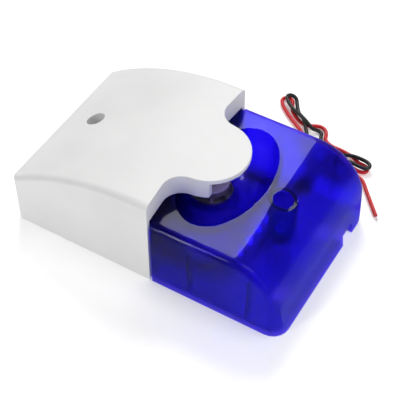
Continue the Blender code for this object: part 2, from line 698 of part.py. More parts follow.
def make_sounder():
    centre = (THROAT_X, 0)
    rim = CAP_RADIUS - CAP_WALL
    turned("sounder_cap", centre, [
        (0, CAP_BOTTOM + CAP_WALL), (rim, CAP_BOTTOM + CAP_WALL), (rim, CAP_TOP),
        (CAP_RADIUS, CAP_TOP), (CAP_RADIUS, CAP_BOTTOM), (0, CAP_BOTTOM),
    ], GREY)
    rod("sounder_disc", centre, DISC_RADIUS, DISC_BOTTOM, DISC_TOP, BRASS)
    low = DISC_TOP + GAP
    rod("sounder_ceramic", centre, CERAMIC_RADIUS, low, low + DISC_THICKNESS, CERAMIC)

    body_radius = CAP_RADIUS
    flange = THROAT_RADIUS + GASKET_WIDTH
    chamber = CERAMIC_RADIUS + 2 * GAP
    chamber_top = DISC_TOP + 2 * GAP + 3 * DISC_THICKNESS
    horn = turned("horn_body", centre, [
        (THROAT_RADIUS, HORN_TOP), (flange, HORN_TOP), (flange, HORN_BOTTOM + EAR_THICKNESS),
        (body_radius, HORN_BOTTOM + EAR_THICKNESS), (body_radius, HORN_BOTTOM),
        (chamber, HORN_BOTTOM), (chamber, chamber_top), (HORN_NECK_RADIUS, HORN_LEDGE_Z),
        (THROAT_RADIUS, HORN_LEDGE_Z),
    ], GREY)
    half_ear = EAR_WIDTH / 2
    for i, (x, y) in enumerate(horn_screw_places()):
        reach = y + math.copysign(half_ear, y)
        root = math.copysign(flange - FIN_THICKNESS, y)
        low = (x - half_ear, min(root, reach), HORN_BOTTOM)
        high = (x + half_ear, max(root, reach), HORN_BOTTOM + EAR_THICKNESS)
        join(horn, box(f"horn_ear_{i}", low, high))
        radius = SMALL_SCREW_RADIUS + SCREW_GAP
        cut(horn, rod(f"horn_hole_{i}", (x, y), radius, 0, HEIGHT, steps=SMALL_STEPS))

    nose = turned("horn_nose", centre, [
        (0, NOSE_TOP), (NOSE_RADIUS * 0.7, NOSE_TOP), (NOSE_RADIUS, NOSE_TOP - NOSE_THICKNESS * 0.4),
        (NOSE_RADIUS, NOSE_TOP - NOSE_THICKNESS), (NOSE_STEM_RADIUS, NOSE_TOP - 2 * NOSE_THICKNESS),
        (NOSE_STEM_RADIUS * 0.6, HORN_LEDGE_Z + GAP), (0, HORN_LEDGE_Z + GAP),
    ], WHITE)
    fin_reach = THROAT_RADIUS - 2 * GAP
    half_fin = FIN_THICKNESS / 2
    fin_top = HORN_TOP - GASKET_THICKNESS
    for i in range(3):
        fin = box(f"nose_fin_{i}", (0, -half_fin, HORN_LEDGE_Z + GAP), (fin_reach, half_fin, fin_top))
        fin.location = (THROAT_X, 0, 0)
        fin.rotation_euler = (0, 0, math.radians(60 + 120 * i))
        join(nose, fin)

    turned("horn_gasket", centre, [
        (THROAT_RADIUS, GASKET_BOTTOM + GASKET_THICKNESS), (flange, GASKET_BOTTOM + GASKET_THICKNESS),
        (flange, GASKET_BOTTOM), (THROAT_RADIUS, GASKET_BOTTOM),
    ], FOAM)


def make_coil():
    seat = BOARD_TOP + GAP
    top = seat + COIL_HEIGHT
    inner = COIL_WAIST_RADIUS
    turned("coil_core", (COIL_X, COIL_Y), [
        (0, top), (COIL_RADIUS, top), (COIL_RADIUS, top - COIL_FLANGE), (inner, top - COIL_FLANGE),
        (inner, seat + COIL_FLANGE), (COIL_RADIUS, seat + COIL_FLANGE), (COIL_RADIUS, seat), (0, seat),
    ], FERRITE)
    low, high = seat + COIL_FLANGE + GAP, top - COIL_FLANGE - GAP
    outer = COIL_RADIUS - 2 * GAP
    turned("coil_winding", (COIL_X, COIL_Y), [
        (inner + GAP, high), (outer, high), (outer, low), (inner + GAP, low),
    ], COPPER)


def make_chip(name, x, y):
    seat = BOARD_TOP + GAP
    length, width, height = CHIP_SIZE
    lift = height * 0.25
    chip = box(
        name, (x - length / 2, y - width / 2, seat + lift), (x + length / 2, y + width / 2, seat + height),
        BLACK,
    )
    leg = CHIP_LEG
    for i in range(CHIP_LEG_PAIRS):
        leg_x = x + (i - (CHIP_LEG_PAIRS - 1) / 2) * CHIP_PITCH
        for side in (-1, 1):
            inner = y + side * (width / 2 - leg)
            outer = y + side * (width / 2 + 2 * leg)
            low = (leg_x - leg / 2, min(inner, outer), seat)
            high = (leg_x + leg / 2, max(inner, outer), seat + height * 0.6)
            join(chip, box(f"{name}_leg_{i}_{side}", low, high))
    return chip


def make_transistor(name, x, y):
    seat = BOARD_TOP + GAP
    lift, half = TRANSISTOR_LIFT, TRANSISTOR_LEG / 2
    flat = arc((x, y), TRANSISTOR_RADIUS, -50, 230, 10)
    body = prism(name, flat, seat + lift, seat + lift + TRANSISTOR_HEIGHT, BLACK)
    for i in range(3):
        leg_x = x + (i - 1) * TRANSISTOR_PITCH
        high = (leg_x + half, y + half, seat + 2 * lift)
        join(body, box(f"{name}_leg_{i}", (leg_x - half, y - half, seat), high))
    return body


def make_capacitor(name, x, y):
    seat = BOARD_TOP + GAP
    radius, height = CAPACITOR_RADIUS, CAPACITOR_HEIGHT
    groove = radius * 0.1
    top = seat + height
    return turned(name, (x, y), [
        (0, top - groove), (radius - 2 * groove, top - groove), (radius - 2 * groove, top),
        (radius - groove / 2, top - groove / 2), (radius, top - 2 * groove),
        (radius, seat + 3 * groove), (radius - groove, seat + 2.4 * groove),
        (radius, seat + 1.8 * groove), (radius, seat), (0, seat),
    ], SLEEVE, 20)


def make_axial(name, x, y, length, radius, finish, turn=0.0):
    """A small resistor or diode lying on the board, with its leads bent down at both ends."""
    seat = BOARD_TOP + GAP
    lead = WIRE_RADIUS
    end = radius * 1.15
    half = length / 2
    body = turned(name, (0, 0), [
        (0, half), (end, half), (end, half * 0.72), (radius, half * 0.62), (radius, -half * 0.62),
        (end, -half * 0.72), (end, -half), (0, -half),
    ], finish, SMALL_STEPS)
    body.rotation_euler = (0, math.radians(90), math.radians(turn))
    body.location = (x, y, seat + end + lead)
    reach = half + WIRE_REACH
    across = box(f"{name}_wire", (-lead, -lead, -reach), (lead, lead, reach))
    across.parent = body
    join(body, across)
    for side in (-1, 1):
        foot = end + lead - 0.00001
        low = (-lead, -lead, side * reach - lead)
        high = (foot, lead, side * reach + lead)
        leg = box(f"{name}_foot_{side}", low, high)
        leg.parent = body
        join(body, leg)
    return body


def make_lamps():
    x = sum(LAMP_BOARD_X) / 2
    seat = BOARD_TOP + GAP
    radius, height = LAMP_RADIUS, LAMP_HEIGHT
    dome = [
        (radius * math.sin(math.radians(a)), seat + height - radius * (1 - math.cos(math.radians(a))))
        for a in (0, 30, 60, 90)
    ]
    profile = dome + [
        (radius, seat + 0.001), (radius * 1.14, seat + 0.001), (radius * 1.14, seat), (0, seat),
    ]
    for i in range(LAMP_COUNT):
        y = (i - (LAMP_COUNT - 1) / 2) * LAMP_PITCH
        turned(f"strobe_lamp_{i + 1}", (x, y), profile, LAMP, SMALL_STEPS)


def spread_curve(route, spacing):
    """Points about one spacing apart on a smooth curve through the route's points."""
    ends = [2 * route[0] - route[1]] + route + [2 * route[-1] - route[-2]]
    knots = [0.0]
    for a, b in zip(ends, ends[1:]):
        knots.append(knots[-1] + math.sqrt((b - a).length))
    fine = []
    for i in range(1, len(ends) - 2):
        k, p = knots[i - 1:i + 3], ends[i - 1:i + 3]
        for step in range(12):
            t = k[1] + (k[2] - k[1]) * step / 12
            a = [
                p[j] * ((k[j + 1] - t) / (k[j + 1] - k[j])) + p[j + 1] * ((t - k[j]) / (k[j + 1] - k[j]))
                for j in range(3)
            ]
            b = [
                a[j] * ((k[j + 2] - t) / (k[j + 2] - k[j])) + a[j + 1] * ((t - k[j]) / (k[j + 2] - k[j]))
                for j in range(2)
            ]
            fine.append(b[0] * ((k[2] - t) / (k[2] - k[1])) + b[1] * ((t - k[1]) / (k[2] - k[1])))
    fine.append(route[-1])
    along = [0.0]
    for a, b in zip(fine, fine[1:]):
        along.append(along[-1] + (b - a).length)
    count = max(2, round(along[-1] / spacing))
    points, j = [], 0
    for i in range(count + 1):
        target = along[-1] * i / count
        while j < len(along) - 2 and along[j + 1] < target:
            j += 1
        share = (target - along[j]) / (along[j + 1] - along[j])
        points.append(fine[j].lerp(fine[j + 1], share))
    return points


def lead(name, route, radius, spacing, finish):
    """A round lead along a route given in millimetres."""
    points = spread_curve([Vector(p) * 0.001 for p in route], spacing)
    curve = bpy.data.curves.new(name, "CURVE")
    curve.dimensions = "3D"
    curve.bevel_depth = radius
    curve.bevel_resolution = 2
    curve.use_fill_caps = True
    spline = curve.splines.new("POLY")
    spline.points.add(len(points) - 1)
    for target, point in zip(spline.points, points):
        target.co = (*point, 1.0)
    item = bpy.data.objects.new(name, curve)
    PARTS.objects.link(item)
    curve.materials.append(finish)
    return points


RED_ROUTE = [
    (32.0, 38.9, 2.4), (31.9, 42.0, 1.9), (30.6, 46.5, 1.0), (27.0, 53.0, 1.0), (21.5, 60.0, 1.0),
    (17.9, 64.9, 1.0), (14.0, 67.7, 1.0), (9.3, 70.7, 1.0), (5.0, 74.0, 1.0), (2.1, 76.8, 1.0),
    (0.8, 79.4, 1.0), (2.2, 81.6, 1.0), (4.8, 81.1, 1.0), (6.3, 78.2, 1.0), (8.3, 74.9, 1.0),
    (11.4, 72.2, 1.0), (15.0, 70.3, 1.0), (18.0, 70.0, 1.0), (20.6, 71.2, 1.0), (23.4, 72.3, 1.0),
    (26.2, 71.5, 1.0), (27.9, 69.2, 1.0), (28.9, 66.3, 1.0), (32.5, 64.2, 1.0), (38.5, 63.8, 1.0),
    (43.5, 62.9, 1.0), (47.4, 61.0, 1.0), (50.2, 60.7, 1.0), (52.0, 60.0, 1.0), (52.6, 58.5, 1.0),
    (51.9, 57.1, 1.0), (50.0, 56.5, 1.0), (46.6, 56.8, 1.0), (43.2, 57.0, 1.0), (40.0, 56.6, 1.0),
    (37.5, 55.5, 1.0), (36.5, 53.1, 1.0), (37.5, 50.7, 1.0), (40.0, 49.7, 1.0), (43.4, 50.3, 1.0),
    (46.2, 52.1, 1.0), (49.4, 53.4, 1.0), (53.2, 52.3, 1.0), (57.3, 47.8, 1.0), (61.7, 42.7, 1.0),
    (66.4, 37.3, 1.0),
]
BLACK_ROUTE = [
    (34.6, 38.9, 2.4), (34.6, 42.0, 1.9), (33.4, 47.0, 1.0), (30.0, 53.4, 1.0), (25.2, 59.2, 1.2),
    (21.5, 63.5, 1.6), (18.6, 67.2, 2.2), (16.2, 70.4, 2.75), (14.0, 72.9, 2.0), (11.6, 75.0, 1.0),
    (9.5, 77.5, 1.0), (7.8, 80.2, 1.0), (6.3, 82.2, 1.5), (4.2, 82.7, 2.3), (2.6, 81.2, 2.9),
    (3.4, 78.8, 3.1), (6.6, 75.9, 2.8), (10.6, 73.6, 2.75), (14.4, 71.2, 4.0), (18.2, 69.4, 3.6),
    (21.4, 68.6, 2.0), (24.0, 69.6, 1.0), (25.8, 68.6, 1.0), (26.7, 66.2, 1.0), (28.6, 63.6, 1.0),
    (33.0, 61.6, 1.0), (38.5, 61.2, 1.2), (43.6, 61.7, 2.75), (48.0, 62.0, 2.75), (51.0, 61.6, 2.75),
    (52.7, 60.6, 2.75), (53.1, 59.1, 2.75), (52.0, 57.9, 2.75), (49.6, 57.7, 2.75),
    (45.6, 58.4, 2.3), (42.0, 59.0, 1.2), (38.8, 58.9, 1.0), (35.9, 58.0, 1.0), (33.9, 55.8, 1.0),
    (33.3, 53.0, 1.0), (34.4, 50.1, 1.0), (37.2, 48.1, 1.0), (41.2, 47.4, 1.0), (45.4, 47.1, 1.0),
    (49.2, 46.9, 1.0),
]


def bare_tip(name, points):
    """The tinned end of a lead, straight on from its last stretch."""
    away = (points[-1] - points[-2]).normalized()
    start = points[-1] + away * GAP
    bm = bmesh.new()
    turn = away.to_track_quat("Z", "Y").to_matrix().to_4x4()
    middle = Matrix.Translation(start + away * TIP_LENGTH / 2) @ turn
    bmesh.ops.create_cone(
        bm, cap_ends=True, segments=SMALL_STEPS, radius1=TIP_RADIUS, radius2=TIP_RADIUS * 0.7,
        depth=TIP_LENGTH, matrix=middle,
    )
    finish_mesh(name, bm, TIN)


def make_leads():
    spacing = 2.6 * LEAD_RADIUS
    bare_tip("red_lead_tip", lead("red_lead", RED_ROUTE, LEAD_RADIUS, spacing, RED_PVC))
    bare_tip("black_lead_tip", lead("black_lead", BLACK_ROUTE, LEAD_RADIUS, spacing, BLACK_PVC))


def make_inner_leads():
    """Leads from the main board to the lamps, the sounder and the outlet bush."""
    spacing = 4 * INNER_LEAD_RADIUS
    high = (BOARD_TOP + GAP) * 1000
    board_x = BOARD_X[1] * 1000
    bush_y = (HALF_WIDTH - 2 * LENS_WALL) * 1000
    outlet_z = (PLATE + INNER_LEAD_RADIUS) * 1000 + 0.5
    edge, room = BOARD_HALF_WIDTH * 1000, LIP_ROOM * 1000
    lamp_edge = LAMP_BOARD_HALF_WIDTH * 1000
    for name, x, y0, side, finish in (
        ("inner_red_lead", OUTLET_LEAD_X[0] * 1000, edge - 8.0, room - 3.8, RED_PVC),
        ("inner_black_lead", OUTLET_LEAD_X[1] * 1000, edge - 10.5, room - 5.5, BLACK_PVC),
    ):
        lead(name, [
            (board_x - 1.6, y0, high + 0.6), (board_x + 3.0, y0 + 1.5, high + 2.2),
            (board_x + 10.0, side - 1.5, high - 1.6), (14.0, side, 3.4), (23.0, side + 0.6, 3.2),
            (x - 3.4, side + 1.2, 3.0), (x - 0.2, bush_y - 2.0, outlet_z), (x, bush_y - 0.9, outlet_z),
        ], INNER_LEAD_RADIUS, spacing, finish)
    lamp_x = LAMP_BOARD_X[0] * 1000 + 0.7
    for i, finish in enumerate((RED_PVC, BLACK_PVC)):
        start, end = 8.6 - edge + 1.8 * i, 1.8 * i - lamp_edge
        lead(f"lamp_lead_{i + 1}", [
            (board_x - 1.6, start, high + 0.6), (board_x + 3.0, start - 1.5, high + 2.2),
            (board_x + 12.0, end - 0.6, high + 0.4), (14.0, end - 1.8, high + 0.2),
            (22.0, end - 0.8, high + 1.6), (lamp_x, end + 2.6, high + 0.6),
        ], INNER_LEAD_RADIUS, spacing, finish)
    cap_x = (THROAT_X - CAP_RADIUS - GAP) * 1000
    for i, y in enumerate((-1.5, 1.5)):
        lead(f"sounder_lead_{i + 1}", [
            (board_x - 1.6, 2.4 * y, high + 0.6), (board_x - 0.4, 2.0 * y, high + 1.5),
            (cap_x - 0.9, y, high + 1.0),
        ], INNER_LEAD_RADIUS, spacing, (RED_PVC, BLACK_PVC)[i])


def make_bush():
    """Rubber outlet bush that fills the notch, with a lip on both faces of the wall."""
    x = sum(OUTLET_LEAD_X) / 2
    half = BUSH_WIDTH / 2
    inner_y = HALF_WIDTH - LENS_WALL - GAP - BUSH_LIP
    low = (x - half, inner_y, 2 * GAP)
    high = (x + half, HALF_WIDTH + BUSH_LIP, BUSH_HEIGHT)
    bush = box("outlet_bush", low, high, RUBBER)
    return bush


def build():
    make_cover()
    make_lens()
    make_plate()
    make_screws()
    make_board("main_board", BOARD_X, BOARD_HALF_WIDTH, board_screw_places())
    make_board("lamp_board", LAMP_BOARD_X, LAMP_BOARD_HALF_WIDTH, lamp_screw_places())
    make_sounder()
    make_coil()
    make_chip("driver_chip", CHIP_X, CHIP_Y)
    make_transistor("driver_transistor", TRANSISTOR_X, TRANSISTOR_Y)
    make_capacitor("capacitor", CAPACITOR_X, CAPACITOR_Y)
    for i in range(RESISTOR_COUNT):
        y = RESISTOR_INSET - BOARD_HALF_WIDTH + (RESISTOR_COUNT - 1 - i) * RESISTOR_PITCH
        make_axial(f"resistor_{i + 1}", RESISTOR_X, y, RESISTOR_LENGTH, RESISTOR_RADIUS, RESISTOR)
    make_axial("flyback_diode", DIODE_X, DIODE_Y, DIODE_LENGTH, DIODE_RADIUS, BLACK)
    make_lamps()
    make_bush()
    make_inner_leads()
    make_leads()


build()
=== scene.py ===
import math

import bpy
from mathutils import Matrix, Vector


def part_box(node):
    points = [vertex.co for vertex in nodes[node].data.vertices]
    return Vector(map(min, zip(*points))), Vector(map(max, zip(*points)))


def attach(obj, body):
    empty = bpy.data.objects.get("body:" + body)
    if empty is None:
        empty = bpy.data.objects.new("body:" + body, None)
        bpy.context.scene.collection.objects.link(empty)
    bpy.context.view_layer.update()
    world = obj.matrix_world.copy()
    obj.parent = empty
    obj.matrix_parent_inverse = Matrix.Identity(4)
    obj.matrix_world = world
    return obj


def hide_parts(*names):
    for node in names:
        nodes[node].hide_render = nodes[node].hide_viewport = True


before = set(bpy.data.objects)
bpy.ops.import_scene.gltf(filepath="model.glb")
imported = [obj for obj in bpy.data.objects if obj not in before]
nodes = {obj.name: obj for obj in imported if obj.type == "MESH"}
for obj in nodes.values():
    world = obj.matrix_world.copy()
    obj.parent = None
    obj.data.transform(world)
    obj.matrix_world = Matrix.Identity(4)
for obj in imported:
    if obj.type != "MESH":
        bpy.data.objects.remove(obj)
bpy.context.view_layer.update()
print("frame loaded:", len(nodes), "nodes")

cameraSet = {
    "place": (0.1566, -0.2572, 0.3511),
    "target": (-0.0009, 0.0086, 0.0),
    "lens": 100.4,
    "sensor": 36.0,
}


def makeCamera(setup):
    cameraData = bpy.data.cameras.new("siren_camera")
    camera = bpy.data.objects.new("siren_camera", cameraData)
    bpy.context.scene.collection.objects.link(camera)
    camera.location = setup["place"]
    aim = Vector(setup["target"]) - camera.location
    camera.rotation_euler = aim.to_track_quat("-Z", "Y").to_euler()
    cameraData.lens = setup["lens"]
    cameraData.sensor_width = setup["sensor"]
    cameraData.clip_start = 0.01
    cameraData.clip_end = 20
    bpy.context.scene.camera = camera


makeCamera(cameraSet)
print("camera set")


def clearPick():
    if bpy.context.mode != "OBJECT":
        bpy.ops.object.mode_set(mode="OBJECT")
    for item in bpy.context.selected_objects:
        item.select_set(False)


def pick(piece):
    clearPick()
    bpy.context.view_layer.objects.active = piece
    piece.select_set(True)


def named(name):
    piece = bpy.context.object
    piece.name = name
    piece.data.name = name
    return piece


def settle(piece):
    # the place goes into the mesh
    pick(piece)
    bpy.ops.object.transform_apply(location=True, rotation=True, scale=True)
    return piece


def bakeModifiers(piece):
    pick(piece)
    for step in list(piece.modifiers):
        bpy.ops.object.modifier_apply(modifier=step.name)
    return piece


def softEdges(piece, width, segments, limit):
    step = piece.modifiers.new("soft edges", "BEVEL")
    step.width = width
    step.segments = segments
    step.limit_method = "ANGLE"
    step.angle_limit = math.radians(limit)
    step.use_clamp_overlap = True
    step.harden_normals = False
    bakeModifiers(piece)


def smoothBy(piece, angle):
    pick(piece)
    bpy.ops.object.shade_smooth_by_angle(angle=math.radians(angle))
    return piece


def evenNormals(piece):
    step = piece.modifiers.new("even normals", "WEIGHTED_NORMAL")
    step.keep_sharp = True
    step.weight = 60
    bakeModifiers(piece)


def chooseFaces(piece, rule):
    # edit mode on, with only the faces that the rule accepts selected
    pick(piece)
    bpy.ops.object.mode_set(mode="EDIT")
    bpy.ops.mesh.select_mode(type="FACE")
    bpy.ops.mesh.select_all(action="DESELECT")
    bpy.ops.object.mode_set(mode="OBJECT")
    for face in piece.data.polygons:
        face.select = rule(face.center, face.normal)
    bpy.ops.object.mode_set(mode="EDIT")


def leaveEdit():
    bpy.ops.object.mode_set(mode="OBJECT")


def weldedCopy(nodeName, pieceName, setup):
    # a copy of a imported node, merged and with its flat areas back in one piece
    piece = bpy.data.objects.new(pieceName, nodes[nodeName].data.copy())
    bpy.context.scene.collection.objects.link(piece)
    piece.data.name = pieceName
    pick(piece)
    bpy.ops.mesh.customdata_custom_splitnormals_clear()
    bpy.ops.object.mode_set(mode="EDIT")
    bpy.ops.mesh.select_all(action="SELECT")
    bpy.ops.mesh.remove_doubles(threshold=setup["merge"])
    bpy.ops.mesh.dissolve_limited(angle_limit=math.radians(setup["flat"]))
    bpy.ops.object.mode_set(mode="OBJECT")
    piece.data.materials.clear()
    return piece


def finishPiece(piece, material, body, slot, *replaced):
    piece.data.materials.clear()
    piece.data.materials.append(material)
    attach(piece, body)
    if replaced:
        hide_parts(*replaced)


def joinPieces(pieces, name):
    pick(pieces[0])
    for other in pieces[1:]:
        other.select_set(True)
    if len(pieces) > 1:
        bpy.ops.object.join()
    return named(name)


class Wire:
    def __init__(self, finish, socket):
        self.finish = finish
        self.socket = socket

    def maths(self, operation, first, second=None):
        values = [first, second] if second is not None else [first]
        return self.finish.add("ShaderNodeMath", {"operation": operation}, values)

    def __add__(self, other):
        return self.maths("ADD", self, other)

    def __radd__(self, other):
        return self.maths("ADD", other, self)

    def __sub__(self, other):
        return self.maths("SUBTRACT", self, other)

    def __rsub__(self, other):
        return self.maths("SUBTRACT", other, self)

    def __mul__(self, other):
        return self.maths("MULTIPLY", self, other)

    def __rmul__(self, other):
        return self.maths("MULTIPLY", other, self)

    def __pow__(self, other):
        return self.maths("POWER", self, other)

    def over(self, edge):
        return self.maths("GREATER_THAN", self, edge)

    def under(self, edge):
        return self.maths("LESS_THAN", self, edge)

    def sine(self):
        return self.maths("SINE", self)

    def size(self):
        return self.maths("ABSOLUTE", self)

    def least(self, other):
        return self.maths("MINIMUM", self, other)

    def wrap(self, span):
        return self.maths("MODULO", self.maths("ADD", self, 1000 * span), span)


class Finish:
    def __init__(self, name):
        self.material = bpy.data.materials.new(name)
        self.material.use_nodes = True
        self.tree = self.material.node_tree
        self.shader = self.tree.nodes["Principled BSDF"]
        self.out = self.tree.nodes["Material Output"]

    def node(self, kind, settings, values):
        # settings first, then the sockets' values or links, by name or number
        made = self.tree.nodes.new(kind)
        for key, value in settings.items():
            if key == "stops":
                ramp = made.color_ramp.elements
                while len(ramp) < len(value):
                    ramp.new(0.5)
                for stop, (place, colour) in zip(ramp, value):
                    stop.position = place
                    stop.color = (*colour, 1.0)
            else:
                setattr(made, key, value)
        for key, value in values.items():
            socket = made.inputs[key]
            if isinstance(value, Wire):
                self.tree.links.new(value.socket, socket)
            else:
                socket.default_value = value
        return made

    def add(self, kind, settings, values):
        pairs = {i: value for i, value in enumerate(values)}
        return Wire(self, self.node(kind, settings, pairs).outputs[0])

    def place(self):
        return Wire(self, self.node("ShaderNodeTexCoord", {}, {}).outputs["Object"])

    def axes(self):
        split = self.node("ShaderNodeSeparateXYZ", {}, {0: self.place()})
        return [Wire(self, split.outputs[i]) for i in range(3)]

    def noise(self, scale, detail, rough, stretch=(1, 1, 1)):
        spread = self.node("ShaderNodeMapping", {}, {"Vector": self.place(), "Scale": stretch})
        made = self.node("ShaderNodeTexNoise", {}, {
            "Vector": Wire(self, spread.outputs[0]), "Scale": scale, "Detail": detail,
            "Roughness": rough,
        })
        return Wire(self, made.outputs[0])

    def cells(self, scale):
        made = self.node("ShaderNodeTexVoronoi", {}, {"Vector": self.place(), "Scale": scale})
        return Wire(self, made.outputs[0])

    def ramp(self, factor, stops):
        made = self.node("ShaderNodeValToRGB", {"stops": stops}, {0: factor})
        return Wire(self, made.outputs[0])

    def blendColour(self, factor, first, second):
        made = self.node("ShaderNodeMix", {"data_type": "RGBA"}, {0: factor})
        for socket, value in ((made.inputs[6], first), (made.inputs[7], second)):
            if isinstance(value, Wire):
                self.tree.links.new(value.socket, socket)
            else:
                socket.default_value = (*value, 1.0)
        return Wire(self, made.outputs[2])

    def bump(self, height, strength, distance, under=None):
        values = {"Height": height, "Strength": strength, "Distance": distance}
        if under is not None:
            values["Normal"] = under
        return Wire(self, self.node("ShaderNodeBump", {}, values).outputs[0])

    def set(self, **values):
        sockets = {
            "colour": "Base Color", "rough": "Roughness", "metal": "Metallic", "normal": "Normal",
            "coat": "Coat Weight", "coatRough": "Coat Roughness", "ior": "IOR",
            "glass": "Transmission Weight", "shine": "Specular IOR Level",
            "glow": "Emission Strength", "coatIndex": "Coat IOR", "tint": "Specular Tint",
        }
        for key, value in values.items():
            socket = self.shader.inputs[sockets[key]]
            if isinstance(value, Wire):
                self.tree.links.new(value.socket, socket)
            elif key in ("colour", "tint"):
                socket.default_value = (*value, 1.0)
            else:
                socket.default_value = value
        return self.material


def whitePlastic(name, low, high):
    # moulded ABS: faint clouding, fine spark grain, slow flow ripple
    finish = Finish(name)
    cloud = finish.noise(28.0, 3, 0.55)
    grain = finish.noise(2400.0, 2, 0.6)
    flow = finish.noise(70.0, 1, 0.4, (1, 2.2, 1))
    rubbed = finish.noise(340.0, 4, 0.7)
    colour = finish.ramp(cloud, [(0.30, low), (0.72, high)])
    rough = 0.46 + 0.09 * (cloud - 0.5) + 0.07 * (grain - 0.5) + 0.05 * rubbed
    ripple = finish.bump(flow, 0.10, 0.0004)
    return finish.set(
        colour=colour, rough=rough, shine=0.28,
        normal=finish.bump(grain, 0.22, 0.00005, ripple),
    )


lensSet = {
    "pale": (0.27, 0.21, 1.0),
    "deep": (0.19, 0.14, 0.99),
    "haze": 0.40,  # blur of what is seen through the wall
    "index": 1.11,  # low, so that the walls mirror little of the floor
    "skin": 0.03,  # roughness of the polished outer skin
    "skinIndex": 2.0,
    "skinWeight": 0.062,
    "tint": (0.20, 0.15, 0.80),
    "dye": (0.28, 0.02, 0.87),
    "depth": 400.0,
    "well": (0.041, 0.00425, 0.00575),  # x, and the radii between which the well's rim is painted dark as shade
    # colour of the painted shade at the well and along the ribs
    "rim": (0.020, 0.010, 0.10),
    "rimLow": 0.0322,
    "wellShade": 0.30,  # painted shade of the well below its rim
    "rimShade": 0.65,  # added at the rim
    # painted shade: dark lines on the side walls where the inner ribs show through
    "ribs": (0.021, 0.0465),
    "ribHalf": 0.0005,
    "ribInside": 0.0340,
    "ribSpan": (0.005, 0.027),
    "ribShade": 0.7,
}


def lensPlastic(setup):
    # dyed clear plastic: a polished skin, a slow ripple, and a dye that deepens with depth
    # painted shade darkens the screw well's rim and column, and lines along the inner ribs
    finish = Finish("blue_lens_plastic")
    flow = finish.noise(45.0, 2, 0.5, (1, 1, 2.0))
    haze = finish.noise(650.0, 3, 0.6)
    colour = finish.ramp(flow, [(0.30, setup["deep"]), (0.70, setup["pale"])])
    x, y, z = finish.axes()
    # painted shade: the screw well's rim and the column below it are darkened in the colour
    middle, inner, outer = setup["well"]
    away = ((x - middle) ** 2.0 + y ** 2.0) ** 0.5
    depth = setup["wellShade"] + setup["rimShade"] * z.over(setup["rimLow"])
    ring = away.over(inner) * away.under(outer) * depth
    colour = finish.blendColour(ring, colour, setup["rim"])
    # painted shade lines where the inner ribs show through the side walls
    low, high = setup["ribSpan"]
    sides = y.size().over(setup["ribInside"]) * z.over(low) * z.under(high)
    for place in setup["ribs"]:
        rib = (x - place).size().under(setup["ribHalf"]) * sides * setup["ribShade"]
        colour = finish.blendColour(rib, colour, setup["rim"])
    finish.set(
        colour=colour, rough=setup["haze"] + 0.04 * haze, glass=1.0, ior=setup["index"],
        coat=setup["skinWeight"], coatRough=setup["skin"], coatIndex=setup["skinIndex"],
        tint=setup["tint"], normal=finish.bump(flow, 0.10, 0.0003),
    )
    dye = finish.node("ShaderNodeVolumeAbsorption", {}, {
        "Color": (*setup["dye"], 1.0), "Density": setup["depth"],
    })
    finish.tree.links.new(dye.outputs[0], finish.out.inputs["Volume"])
    return finish.material


def metalFinish(name, colour, dark, rough, scale=900.0):
    finish = Finish(name)
    streak = finish.noise(scale, 3, 0.6, (1, 1, 8))
    stain = finish.noise(260.0, 4, 0.65)
    tone = finish.ramp(stain, [(0.35, dark), (0.62, colour)])
    return finish.set(
        colour=tone, rough=rough + 0.18 * (streak - 0.5) + 0.10 * stain, metal=1.0,
        normal=finish.bump(streak, 0.15, 0.00004),
    )


discSet = {"middle": 0.0095, "rings": 16000.0, "plated": 0.0078}


def fromDiscMiddle(finish, setup):
    x, y = finish.axes()[:2]
    return ((x - setup["middle"]) ** 2.0 + y ** 2.0) ** 0.5


def brassDisc(setup):
    # rolled disc with faint lapping rings round its centre
    finish = Finish("brass_disc")
    ring = (fromDiscMiddle(finish, setup) * setup["rings"]).sine()
    stain = finish.noise(300.0, 4, 0.6)
    colour = finish.ramp(stain, [(0.3, (0.52, 0.34, 0.12)), (0.7, (0.80, 0.60, 0.27))])
    return finish.set(
        colour=colour, rough=0.26 + 0.12 * stain, metal=1.0,
        normal=finish.bump(ring, 0.10, 0.00003),
    )


def ceramicFinish(setup):
    # fired ceramic, silvered out to the plated radius
    finish = Finish("silvered_ceramic")
    silver = fromDiscMiddle(finish, setup).under(setup["plated"])
    speck = finish.noise(1800.0, 3, 0.6)
    plain = finish.ramp(speck, [(0.3, (0.66, 0.62, 0.52)), (0.7, (0.80, 0.77, 0.68))])
    plated = finish.ramp(speck, [(0.3, (0.58, 0.58, 0.57)), (0.7, (0.76, 0.76, 0.75))])
    return finish.set(
        colour=finish.blendColour(silver, plain, plated), metal=0.75 * silver,
        rough=0.62 - 0.22 * silver + 0.08 * speck, normal=finish.bump(speck, 0.2, 0.00003),
    )


def foamFinish():
    finish = Finish("open_cell_foam")
    pores = finish.cells(2600.0)
    # the pores are painted darker, as painted shade in the foam's hollows
    tone = finish.ramp(pores, [(0.05, (0.38, 0.37, 0.40)), (0.6, (0.66, 0.65, 0.68))])
    return finish.set(
        colour=tone, rough=0.90 + 0.08 * pores, normal=finish.bump(pores, 0.8, 0.0002),
    )


boardSet = {
    "pitch": 0.0021,
    "track": 0.00055,
    "pad": 0.00085,
    "hole": 0.42,  # of the pad's radius
    "tinned": (0.62, 0.62, 0.60),
    "holeShade": (0.03, 0.03, 0.03),
}


